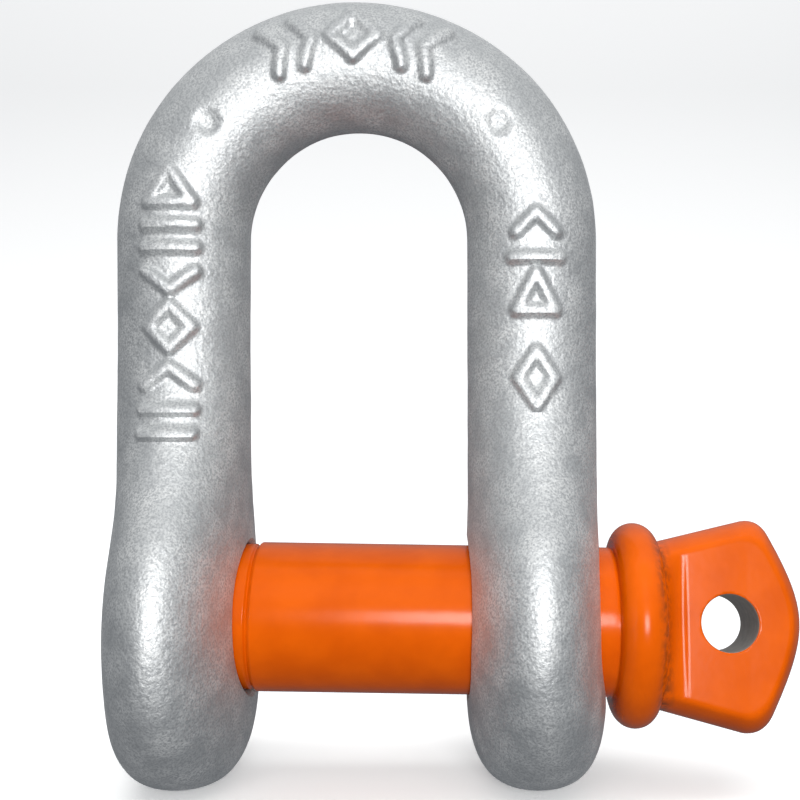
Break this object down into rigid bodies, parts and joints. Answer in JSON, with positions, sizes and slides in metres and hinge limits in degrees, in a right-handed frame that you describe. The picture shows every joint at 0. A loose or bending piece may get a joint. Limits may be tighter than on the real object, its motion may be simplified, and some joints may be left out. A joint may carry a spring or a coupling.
{
  "type": "screw pin dee shackle",
  "caption": "Forged dee-shaped lifting shackle with round eared legs, closed by a collared screw pin with a flat eye head.",
  "frame": {"origin": "on the screw pin's axis, midway between the two ears", "axes": "+X along the pin towards its head, +Z from the pin up to the crown, -Y the marked front"},
  "size_m": [0.1181, 0.0576, 0.1347],
  "materials": {
    "galvanised": "hot-dip galvanised over a pebbled forged skin",
    "pin_enamel": "gloss orange enamel"
  },
  "bodies": {
    "bow": {"bow": "galvanised"},
    "screw_pin": {"screw_pin": "pin_enamel"}
  },
  "joints": [
    {"name": "pin_withdraw", "type": "slide", "parent": "bow", "child": "screw_pin", "axis": [1, 0, 0], "range_m": [-0.0019, 0.084]}
  ]
}
